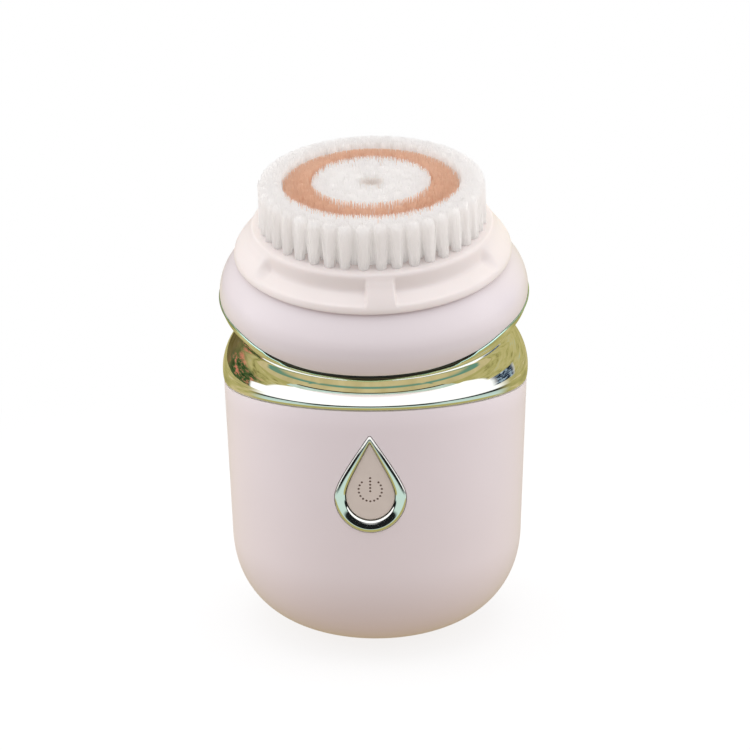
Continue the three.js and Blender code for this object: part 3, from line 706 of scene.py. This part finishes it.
def make_band():
    """The plated waist: a roll that swings in to a groove, then a flare that cups the collar and ends in a small
    bead, bright from real highlights and a painted mint tint. The near-black seal fills the seam above the bead:
    painted shade for the gap there."""
    low, high = BODY_HEIGHT + 0.1, BODY_HEIGHT + NECK
    # Each stretch is drawn with one point of the other, so that they meet smoothly, and cut there.
    swell = np.array(smooth_curve([*SWELL, FLARE[1]], 9))[:-9] + (0, low)
    rise = np.array(smooth_curve([SWELL[-2], *FLARE, *CUP], 6))[6:] + (0, low)
    walked = np.append(0, np.cumsum(np.hypot(*np.diff(rise, axis=0).T)))

    def along_rise(at):
        """Points of the flare and cup, given by the length walked along them."""
        return np.stack([np.interp(at, walked, rise[:, 0]), np.interp(at, walked, rise[:, 1])], 1)

    hidden = [
        (23.2, high - 3.4), (22.85, low + 10.2), (23.3, low + 8.6), (25.2, low + 5.6), (26.5, low + 4.0),
    ]  # fmt: skip
    inner = [
        (RIM_RADIUS - 3.1, high - 0.1),
        *smooth_curve(hidden, 5),
        (26.5, low),
        (RIM_RADIUS - 0.3, low),
        (RIM_RADIUS - 0.08, low + 0.1),
    ]
    columns, seams = [], []
    for angle in np.arange(ROUND) * 2 * math.pi / ROUND:
        collar = np.interp(high + collar_edge(angle), rise[:, 1], walked)
        end = collar - seam_width(angle)
        path = along_rise(np.linspace(0, 1, len(rise)) * (end - BEAD))
        along = (path[-1] - path[-2]) / np.linalg.norm(path[-1] - path[-2])
        outward = np.array([along[1], -along[0]])
        middle = path[-1] + along * BEAD * 0.6
        bead = [
            middle + BEAD * (math.sin(turn) * along + math.cos(turn) * outward)
            for turn in np.radians(np.arange(-50, 176, 15))
        ]
        behind = middle - outward * 0.5
        under = np.array(inner)
        under[0] = (min(under[0][0], behind[0] - 0.4), min(under[0][1], behind[1] - 0.1))
        columns.append(section(np.concatenate([swell, path[1:], bead, [behind], under]), angle))
        strip = along_rise(np.linspace(end - 0.6, collar + 0.05 + 0.12 * seam_width(angle), 24))
        skin, back = strip - (SEAL_SINK, 0), strip - (SEAL_THICK, 0)
        seams.append(section(np.concatenate([skin, back[::-1]]), angle))
    verts, faces = loft(columns, close_ends=False)
    band = piece("waist_band", verts, faces, bent, waist_chrome, "housing", ["chrome_band"])
    keep_values(band, "rise", verts[:, 2] - low)
    # Marks the bead for its painted mint reflection.
    lip = np.zeros(len(columns[0]))
    lip[len(swell) + len(path) - 1 :][: len(bead)] = 1
    keep_values(band, "lip", np.tile(lip, len(columns)))
    # The near-black seal stands in for the shade in the gap under the collar.
    verts, faces = loft(seams, close_ends=False)
    replaced = ["collar_seal_ring"]
    seal = piece("waist_seal", verts, faces, bent, seam_painted_shade, "housing", replaced)
    keep_values(seal, "rise", verts[:, 2] - low)


def make_collar():
    """The glossy crown, and inside it the well that the head's tube is pushed into."""
    crown = [
        (26.2, 0.45), (26.58, 0.75), (27.0, 1.5), (27.28, 2.7), (27.3, 3.9), (27.05, 5.2), (26.55, 6.5),
        (25.8, 7.7), (24.95, 8.8), (24.2, 9.65), (23.7, 10.1), (23.2, DECK),
    ]  # fmt: skip
    under, roof = WELL_FLOOR - 1.8, DECK - WALL
    well = [
        (WELL_RADIUS, DECK), (WELL_RADIUS, WELL_FLOOR), (5.2, WELL_FLOOR), (5.0, 9.0), (3.7, 9.0),
        (3.7, 6.9), (2.0, 6.9), (2.0, under), (WELL_RADIUS + 0.6, under),
        (WELL_RADIUS + 1.5, under + 1.0), (WELL_RADIUS + 1.5, roof), (22.9, roof), (24.9, 6.0),
        (24.9, 3.0), (22.6, 0.8), (22.6, -1.2), (23.3, -1.2), (23.3, 0.1),
    ]  # fmt: skip
    verts, faces = turned(smooth_curve(crown, 8) + softened(well, 0.3))
    piece("collar", verts, faces, to_head, gloss_white, "housing", ["top_collar"])


make_band()
make_collar()


# ------------------------------------------------------------------ button


# The bezel's section, as a share of the way from outside to window and a height above the shell.
# Its crest is broad and falls inwards below and above the window, and outwards beside it.
BEZEL_SECTIONS = {
    "below": [
        (0, -0.1), (0.03, 0.13), (0.1, 0.255), (0.18, 0.318), (0.26, 0.336), (0.34, 0.3285),
        (0.5, 0.296), (0.65, 0.26), (0.8, 0.22), (0.88, 0.195), (1, 0.12),
    ],
    "beside": [
        (0, -0.1), (0.05, 0.095), (0.15, 0.205), (0.25, 0.25), (0.4, 0.283), (0.55, 0.3),
        (0.7, 0.306), (0.85, 0.296), (1, 0.2),
    ],
    "above": [
        (0, -0.1), (0.05, 0.22), (0.12, 0.305), (0.2, 0.318), (0.3, 0.331), (0.4, 0.341),
        (0.5, 0.344), (0.6, 0.34), (0.8, 0.322), (1, 0.23),
    ],
}  # fmt: skip
BLEND_BELOW, BLEND_ABOVE = 4.5, 5.0


def make_bezel():
    """The plated drop round the button, whose section changes from its tip to its round end."""
    curves = {key: np.array(smooth_curve(points, 4)).T for key, points in BEZEL_SECTIONS.items()}
    outside, window = drop(*BEZEL_DROP), drop(*WINDOW_DROP)
    tube = drop(*WINDOW_DROP, offset=0.4)
    below = np.clip(-outside[:, 1] / BLEND_BELOW, 0, 1)
    above = np.clip(outside[:, 1] / BLEND_ABOVE, 0, 1)
    below, above = (share * share * (3 - 2 * share) for share in (below, above))
    rings = [on_shell(outside, -0.45)]
    for share in [0, 0.02, 0.05, *np.linspace(0.08, 1, 36)]:
        low, side, high = (np.interp(share, *curves[key]) for key in ("below", "beside", "above"))
        height = low * below + high * above + side * (1 - below - above)
        rings.append(on_shell(outside + (window - outside) * share, height))
    for shape, height in ((window, -0.1), (window, -2.7), (tube, -2.7), (tube, -0.45)):
        rings.append(on_shell(shape, height))
    verts, faces = loft(rings, close_ends=False)
    piece("bezel", verts, faces, upright, chrome, "housing", ["button_bezel"], sharp=50)


def make_button():
    """A cap with a softly rounded edge, and a flange behind the window that keeps it in."""
    face, flange = drop(*WINDOW_DROP, offset=-0.15), drop(*WINDOW_DROP, offset=0.35)
    rings = [on_shell(face * share, -0.06) for share in np.linspace(0.03, 0.94, 10)]
    for share, height in ((0.965, -0.075), (0.985, -0.11), (1.0, -0.2), (1.0, -2.9)):
        rings.append(on_shell(face * share, height))
    for share, height in ((1.0, -2.9), (1.0, -3.5), (0.05, -3.5)):
        rings.append(on_shell(flange * share, height))
    verts, faces = loft(rings)
    replaced = ["button_cap"]
    piece("button", verts, faces, upright, button_satin, "button", replaced, sharp=60)


def icon_centres():
    """Centres of the dots of a broken circle and a short bar, about the drop's centre."""
    radius, lift, opening, count = 1.92, 1.4, math.radians(45.5), 15
    for i in range(count):
        angle = opening + i * (2 * math.pi - 2 * opening) / (count - 1)
        yield -radius * math.sin(angle), lift + radius * math.cos(angle)
    for i in range(5):
        yield 0.0, lift - 0.18 + i * 0.567


DOT_WIDE, DOT_HIGH, DOT_SIDES = 0.19, 0.17, 14  # half widths, and corners


def make_icon():
    """The dots as pins through the cap, on a plate behind it."""
    parts = []
    for x, z in icon_centres():
        angles = np.arange(DOT_SIDES) * 2 * math.pi / DOT_SIDES
        circle = np.stack([x + DOT_WIDE * np.cos(angles), z + DOT_HIGH * np.sin(angles)], 1)
        inset = np.array((x, z)) + (circle - (x, z)) * 0.8
        parts.append(loft([on_shell(inset, -0.045), on_shell(circle, -0.055), on_shell(circle, -3.6)]))
    plate = drop(*WINDOW_DROP, offset=-0.4)
    parts.append(loft([on_shell(plate, -3.65), on_shell(plate, -4.4)]))
    verts, faces = joined(parts)
    piece("icon", verts, faces, upright, icon_dots, "button", ["icon_light_guide"], sharp=50)


make_bezel()
make_button()
make_icon()


# ------------------------------------------------------------------ brush head

GRIP_SPAN, GRIP_RIB = math.radians(51), math.radians(12)
# The skirt's section on a rib and through a finger recess, point for point.
RIB = [
    (20.3, 16.0), (20.62, 15.95), (20.85, 15.78), (21.05, 15.45), (21.3, 15.0), (21.62, 14.55),
    (22.0, 14.02), (22.45, 13.5), (22.9, 13.0), (23.35, 12.45), (23.72, 11.95), (24.02, 11.45),
    (24.16, 11.05), (24.2, 10.8),
]  # fmt: skip
RECESS = [
    (20.3, 16.0), (20.62, 15.95), (20.85, 15.8), (21.03, 15.5), (21.14, 15.0), (21.2, 14.2),
    (21.27, 13.45), (21.5, 13.02), (22.1, 12.68), (22.8, 12.3), (23.35, 11.98), (23.85, 11.72),
    (24.13, 11.15), (24.2, 10.8),
]  # fmt: skip
HEAD_FRONT = -math.pi / 2 + BRUSH_TURN


def ring_angles():
    """Angles round the head, packed closer where the recesses end."""
    angles = set()
    for i in range(200):
        angles.add(round(HEAD_FRONT + i * math.pi / 100, 6))
    for side in (-1, 1):
        for far in (0, math.pi):
            for end, spread in ((GRIP_RIB / 2, 1.6), (GRIP_RIB / 2 + GRIP_SPAN, 4.5)):
                for i in np.linspace(-spread, spread, 31):
                    angles.add(round(HEAD_FRONT + far + side * end + math.radians(i), 6))
    angles = np.array(sorted({round(a % (2 * math.pi), 6) for a in angles}))
    return angles[np.append(np.diff(angles) > 1e-4, True)]


def recess_share(angle, narrow):
    """1 inside a finger recess and 0 on a rib: a steep end by the rib and a scooped one beyond."""
    local = abs(math.remainder(angle - HEAD_FRONT, math.pi))
    near = np.clip((local - GRIP_RIB / 2 - narrow) / math.radians(1.7) + 0.5, 0, 1)
    far = np.clip((GRIP_RIB / 2 + GRIP_SPAN - narrow - local) / math.radians(6.5) + 0.5, 0, 1)
    edge = np.minimum(near, far)
    return edge * edge * (3 - 2 * edge)


def make_brush_ring():
    """The head's ring: a skirt with two long finger recesses, and the tube that goes into the well."""
    rib, recess = (np.array(smooth_curve(line, 5)) for line in (RIB, RECESS))
    step, groove = DECK + 0.25, TUBE_OUTER - 0.45
    below = [
        (24.2, DECK + 0.42), (24.0, step), (TUBE_OUTER, step), (TUBE_OUTER, 8.9), (groove, 8.9),
        (groove, 7.9), (TUBE_OUTER, 7.9), (TUBE_OUTER, 6.9), (TUBE_OUTER - 0.3, 6.5), (TUBE_INNER, 6.5),
        (TUBE_INNER, 13.2), (BORE, 13.2), (BORE, TUFT_BASE),
    ]  # fmt: skip
    below = np.array(softened(below, 0.15, 3))
    rounded_ends = np.linspace(0, 1, len(rib))
    columns = []
    for angle in ring_angles():
        # The recess's plan has rounded corners: its first and last rows are a little narrower.
        ends = 1 - np.clip(np.minimum(rounded_ends - 0.12, 0.86 - rounded_ends) / 0.12, 0, 1)
        share = recess_share(angle, math.radians(1.1) * ends**2)
        skirt = rib + (recess - rib) * share[:, None]
        columns.append(section(np.concatenate([skirt, below]), angle))
    verts, faces = loft(columns, close_ends=False)
    replaced = ["brush_ring"]
    piece(
        "head_ring", verts, faces, to_head, satin_white, "brush_ring", replaced, sharp=50
    )


make_brush_ring()


# ------------------------------------------------------------------ tufts

rng = np.random.default_rng(7)

# A row of tufts: how many, the circles of their middles at the base and at the tips, a tuft's radius
# at the base, how far its tips reach along and across the head's radius, and the row's turn.
Row = namedtuple("Row", "count base_circle tip_circle base_radius tip_along tip_across turn")
OUTER_ROWS = [
    Row(42, 18.8, 18.1, 0.8, 1.15, 1.6, 0.03),
    Row(42, 16.5, 16.4, 1.12, 1.15, 1.3, 0.105),
]
ORANGE_ROWS = [
    Row(32, 13.65, 13.85, 0.88, 1.25, 1.45, 0.05),
    Row(27, 11.6, 11.65, 0.88, 1.25, 1.45, 0.0),
]
CENTRE_ROWS = [
    Row(21, 8.9, 8.95, 0.92, 1.15, 1.4, 0.07),
    Row(15, 6.5, 6.5, 0.92, 1.45, 1.6, 0.0),
    Row(9, 3.9, 3.85, 0.92, 1.45, 1.6, 0.2),
    Row(3, 1.35, 1.3, 0.85, 1.2, 1.3, 0.5),
]
PIT = 1.9  # radius of the dimple in the middle
FILAMENTS = 84  # in a tuft
ROOT = TUFT_BASE - 0.4
CORE_SHORT, CORE_SHARE = 0.75, 0.84  # a tuft's packed core: how far below the tips, and how wide


def tip_height(reach, kind):
    """Height of the filament tips at a distance from the head's axis."""
    if kind == "outer":
        return TUFT_TOP + 0.1 - 1.4 * np.clip((reach - 17.9) / 1.6, 0, 1.1) ** 2.2
    if kind == "orange":
        return TUFT_TOP + 0.1 - 1.2 * np.clip((reach - 10.6) / 4.4, 0, 1) ** 1.3
    return TUFT_TOP - 0.35 - 0.8 * np.exp(-((reach / PIT) ** 4))


def around_head(out, across, height, around):
    """A tuft's own coordinates to the head's, with the tuft at an angle round the axis."""
    x = out * math.cos(around) - across * math.sin(around)
    y = out * math.sin(around) + across * math.cos(around)
    return np.stack([x, y, height], -1)


def tube_faces(levels, sides):
    """Four-cornered faces of a tube whose points run round, level by level."""
    return [
        [
            level * sides + side,
            level * sides + (side + 1) % sides,
            (level + 1) * sides + (side + 1) % sides,
            (level + 1) * sides + side,
        ]
        for level in range(levels - 1)
        for side in range(sides)
    ]


def filament_bundle(row, around, lean, kind):
    """A tuft's filaments: three-sided, slightly bowed, and spread from a round base."""
    sides, levels = 3, np.array([0.0, 0.3, 0.62, 0.88, 1.0])
    index = np.arange(FILAMENTS)
    spread = np.sqrt((index + 0.5) / FILAMENTS)
    golden = math.pi * (3 - math.sqrt(5))
    spin = index * golden + rng.uniform(0, 6.28)
    a = spread * np.cos(spin) + rng.normal(0, 0.05, FILAMENTS)
    b = spread * np.sin(spin) + rng.normal(0, 0.05, FILAMENTS)
    stray = rng.normal(0, 0.06, (2, FILAMENTS))
    bow = rng.normal(0, 0.06, (2, FILAMENTS))
    square = spread / np.maximum(np.abs(a), np.abs(b)).clip(0.05) - 1
    reach = row.tip_circle + a * row.tip_along + stray[0] + lean[0]
    reach = np.hypot(reach, b * row.tip_across + lean[1] + stray[1])
    top = tip_height(reach, kind) + rng.normal(0, 0.05, FILAMENTS)
    thick = rng.uniform(0.055, 0.08, FILAMENTS)
    layers = []
    for level in levels:
        # Round at the base, a tuft spreads towards a square that meets its neighbours.
        full = 1 + square.clip(0, 0.42) * 0.85 * level**1.5
        bowed = math.sin(math.pi * level)
        along = row.base_radius + (row.tip_along - row.base_radius) * level
        aside = row.base_radius + (row.tip_across - row.base_radius) * level**1.2
        out = row.base_circle + (row.tip_circle + lean[0] - row.base_circle) * level
        out = out + a * full * along + stray[0] * level + bow[0] * bowed
        across = b * full * aside + lean[1] * level + stray[1] * level + bow[1] * bowed
        height = ROOT + (top - ROOT) * level
        width = thick * (1 - 0.45 * level**2)
        ring = [
            around_head(out + width * math.cos(turn), across + width * math.sin(turn), height, around)
            for turn in np.arange(sides) * 2 * math.pi / sides
        ]
        layers.append(np.stack(ring, 1))
    verts = np.stack(layers, 1).reshape(-1, 3)  # filament, level, side, xyz
    points = len(levels) * sides
    starts = np.arange(FILAMENTS)[:, None, None] * points
    walls = starts + np.array(tube_faces(len(levels), sides))
    ends = starts + np.array([[0, 2, 1], [points - 3, points - 2, points - 1]])
    return verts, walls.reshape(-1, 4).tolist() + ends.reshape(-1, 3).tolist()


def tuft_core(row, around, lean, kind):
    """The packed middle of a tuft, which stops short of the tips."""
    sides, levels = 12, np.linspace(0, 1, 8)
    tip_circle = row.tip_circle + lean[0]
    top = tip_height(np.array([tip_circle]), kind)[0] - CORE_SHORT
    verts = []
    for level in levels:
        share = CORE_SHARE * (0.75 if level == 1 else 1.0)
        along = row.base_radius + (row.tip_along - row.base_radius) * level
        across = row.base_radius + (row.tip_across - row.base_radius) * level**1.2
        for side in range(sides):
            angle = side * 2 * math.pi / sides
            flute = share * (1 + 0.05 * math.cos(3 * angle + around * 7))
            u = row.base_circle + (tip_circle - row.base_circle) * level + along * flute * math.cos(angle)
            v = lean[1] * level + across * flute * math.sin(angle)
            verts.append(around_head(u, v, ROOT + (top - ROOT) * level, around))
    last = (len(levels) - 1) * sides
    caps = [list(range(sides))[::-1], list(range(last, last + sides))]
    return np.array(verts), tube_faces(len(levels), sides) + caps


def make_tufts(name, rows, kind, slot, body, node):
    """One piece of several rows of tufts. The innermost also says where its dimple lies, for the painted shade
    there.
    """
    material = made_materials[slot]
    parts = []
    for row in rows:
        for k in range(row.count):
            around = row.turn + (k + rng.uniform(-0.06, 0.06)) * 2 * math.pi / row.count
            lean = rng.normal(0, 0.07, 2)
            parts.append(filament_bundle(row, around, lean, kind))
            parts.append(tuft_core(row, around, lean, kind))
    verts, faces = joined(parts)
    made = piece(name, verts, faces, to_head, material, body, [node], sharp=0)
    if kind == "centre":
        reach = np.hypot(*np.array(verts)[:, :2].T)
        keep_values(made, "pit", np.exp(-((reach / PIT) ** 4)))


make_tufts("outer_tufts", OUTER_ROWS, "outer", "white_nylon", "brush_ring", "outer_bristles")
make_tufts("orange_tufts", ORANGE_ROWS, "orange", "peach_nylon", "brush_rotor", "orange_bristles")
make_tufts("centre_tufts", CENTRE_ROWS, "centre", "white_nylon", "brush_rotor", "inner_bristles")


# ------------------------------------------------------------------ stage and light

PALE = (0.93, 0.92, 0.91)


def front_share(t, x, y, middle, half, soft):
    """1 within half degrees of a bearing from the front, positive to the right, and 0 outside it."""
    bearing = t.math("MULTIPLY", t.math("ARCTAN2", x, t.math("MULTIPLY", y, -1.0)), 180 / math.pi)
    off = t.math("ABSOLUTE", t.math("SUBTRACT", bearing, middle))
    return t.spread(t.math("SUBTRACT", off, half), -soft, soft, 1, 0, "SMOOTHSTEP")


def make_floor():
    """A plain pale floor that fades into the white background. What it bounces is a little warm, and
    the bright trim mirrors it in rings of colour, as part of the other room."""
    sides, reach = 96, 4.0
    mesh = bpy.data.meshes.new("floor")
    angles = [i * 2 * math.pi / sides for i in range(sides)]
    ring = [(reach * math.cos(angle), reach * math.sin(angle), 0) for angle in angles]
    mesh.from_pydata(ring, [], [list(range(sides))])
    floor = bpy.data.objects.new("floor", mesh)
    bpy.context.scene.collection.objects.link(floor)
    material = bpy.data.materials.new("floor")
    material.use_nodes = True
    t = Tree(material.node_tree)
    place = t.node("ShaderNodeTexCoord").outputs["Object"]
    away = t.node("ShaderNodeVectorMath", {"operation": "LENGTH"}, _0=place).outputs["Value"]
    pale = t.node("ShaderNodeBsdfDiffuse", Color=(*PALE, 1))
    glow = t.node("ShaderNodeEmission", Color=(1, 1, 1, 1), Strength=1.0)
    seen = t.mix_shaders(t.spread(away, 0.04, 0.2, 0.8, 1, "SMOOTHSTEP"), pale, glow)
    x, y, _ = t.node("ShaderNodeSeparateXYZ", Vector=place).outputs
    step = t.spread(away, 0, 0.5, 0, 1)
    near = [(0.0, shade(OLIVE, 0.9)), (0.18, OLIVE), (0.2, MINT)]
    far = [(0.46, BLACK), (0.54, WHITE), (1.0, WHITE)]
    middle = t.ramp(step, [*near, (0.24, MINT), (0.27, BLACK), *far])
    beside = t.ramp(step, [*near, (0.34, shade(MINT, 0.85)), (0.37, BLACK), *far])
    ahead = t.mix(front_share(t, x, y, 0, 44, 10), beside, middle)
    patches = t.noise(place, 9, 5, 0.62)
    stops = [(0.34, shade(OLIVE, 0.72)), (0.5, OLIVE), (0.62, TAN), (0.72, shade(MINT, 0.8))]
    warm = t.ramp(patches, stops)
    mirrored_colour = t.mix(front_share(t, x, y, 8, 98, 12), warm, ahead)
    mirrored = t.node("ShaderNodeEmission", Color=mirrored_colour, Strength=1.0)
    stops = [(0.0, rgb(205, 177, 151)), (0.14, rgb(203, 187, 173)), (0.5, rgb(226, 219, 218))]
    bounce = t.ramp(t.spread(away, 0, 0.4, 0, 1), stops)
    bounced = t.node("ShaderNodeEmission", Color=bounce, Strength=0.88)
    other = t.mix_shaders(t.ray("Glossy"), bounced, mirrored)
    t.show(t.mix_shaders(t.ray("Camera"), other, seen))
    mesh.materials.append(material)


def make_world():
    """A white studio, whose light is soft. The bright trim mirrors another room: a wide white box in
    front, warm walls behind with greenery to the left, a dark figure to the right, and bands above."""
    world = bpy.data.worlds.new("studio")
    bpy.context.scene.world = world
    world.use_nodes = True
    t = Tree(world.node_tree)
    way = t.node("ShaderNodeTexCoord").outputs["Generated"]
    x, y, z = t.node("ShaderNodeSeparateXYZ", Vector=way).outputs
    height = t.math("ADD", t.math("MULTIPLY", t.math("ARCSINE", z), 1 / math.pi), 0.5)

    def level(degrees):
        """An elevation as the height that the ramps read."""
        return 0.5 + degrees / 180

    def away_from(value, middle, near, far, kind="LINEAR"):
        """1 within near of a height and 0 beyond far."""
        off = t.math("ABSOLUTE", t.math("SUBTRACT", value, middle))
        return t.spread(off, near, far, 1, 0, kind)

    ahead = t.ramp(height, [(0.0, WHITE), (level(85.5), WHITE), (level(86.5), BLACK), (1.0, BLACK)])
    drawn = t.node("ShaderNodeMapping", Vector=way)
    drawn.inputs["Scale"].default_value = (1, 1, 2.5)
    wall = t.noise(drawn, 5, 5, 0.62)
    stops = [
        (0.3, rgb(120, 112, 60)), (0.45, OLIVE), (0.58, rgb(200, 188, 130)), (0.72, rgb(176, 190, 160)),
    ]  # fmt: skip
    warm = t.ramp(wall, stops)
    stops = [
        (0.0, OLIVE), (level(74), TAN), (level(77), TEAL), (level(79), rgb(140, 186, 168)),
        (level(81), TAN), (level(87.5), TAN), (level(88.5), MINT), (level(89.4), BLACK), (1.0, BLACK),
    ]  # fmt: skip
    top = t.ramp(height, stops)
    behind = t.mix(t.spread(height, level(66), level(74), 0, 1), warm, top)
    leaves = t.noise(way, 9, 4, 0.7)
    plant = t.ramp(leaves, [(0.4, rgb(40, 62, 30)), (0.52, rgb(78, 104, 58)), (0.6, rgb(214, 130, 108))])
    plant_height = away_from(height, level(8), 0.11, 0.17, "SMOOTHSTEP")
    plant_share = t.math("MULTIPLY", front_share(t, x, y, -115, 19, 8), plant_height)
    low_down = t.spread(height, level(50), level(20), 0, 0.8)
    shade_share = t.math("MULTIPLY", front_share(t, x, y, -155, 28, 10), low_down)
    behind = t.mix(shade_share, behind, (*rgb(74, 56, 26), 1))
    behind = t.mix(plant_share, behind, plant)
    # A dark figure stands by the right end of the soft box.
    drift = t.spread(t.noise(way, 6, 3), 0, 1, -0.07, 0.07)
    figure_height = away_from(t.math("ADD", height, drift), level(6), 0.09, 0.11)
    figure = t.math("MULTIPLY", front_share(t, x, y, 111, 13, 5), figure_height)
    stops = [(0.4, rgb(16, 22, 34)), (0.52, rgb(44, 60, 84)), (0.6, rgb(168, 190, 204))]
    folds = t.ramp(t.noise(drawn, 11, 4, 0.6), stops)
    ahead = t.mix(figure, ahead, folds)
    # The box is narrower higher up.
    half = t.spread(height, level(16), level(28), 112, 91)
    middle = t.spread(height, level(16), level(28), 12, 4)
    mirrored = t.mix(front_share(t, x, y, middle, half, 2), behind, ahead)
    side = t.spread(t.math("ABSOLUTE", x), 0.2, 0.9, 0, 1, "SMOOTHSTEP")
    lit = t.mix(side, (0.64, 0.64, 0.67, 1), (1.04, 1.04, 1.06, 1))
    lit = t.mix(t.spread(height, 0.6, 0.95, 0, 1, "SMOOTHSTEP"), lit, (1.1, 1.1, 1.11, 1))
    for_light = t.mix(t.ray("Glossy"), lit, mirrored)
    final = t.mix(t.ray("Camera"), for_light, (1, 1, 1, 1))
    shader = t.node("ShaderNodeBackground", Color=final, Strength=1.0)
    t.show(shader, "World")


def soft_box(name, place, aim, width, height, power):
    """A rectangular light that neither the camera nor bright trim sees."""
    data = bpy.data.lights.new(name, "AREA")
    data.shape = "RECTANGLE"
    data.size, data.size_y = width, height
    data.energy = power
    light = bpy.data.objects.new(name, data)
    light.location = place
    light.rotation_euler = (Vector(aim) - Vector(place)).to_track_quat("-Z", "Y").to_euler()
    light.visible_camera = False
    light.visible_glossy = False
    bpy.context.scene.collection.objects.link(light)


make_floor()
make_world()
middle = (cad_low + cad_high) / 2
soft_box("light_top", (0.0, 0.0, 0.75), middle, 0.7, 0.7, 1.8)
soft_box("light_left", (-0.7, 0.12, 0.18), middle, 0.5, 0.6, 1.9)
soft_box("light_right", (0.7, 0.12, 0.16), middle, 0.5, 0.6, 1.7)

bpy.context.scene.view_settings.view_transform = "Standard"
bpy.context.scene.view_settings.look = "None"
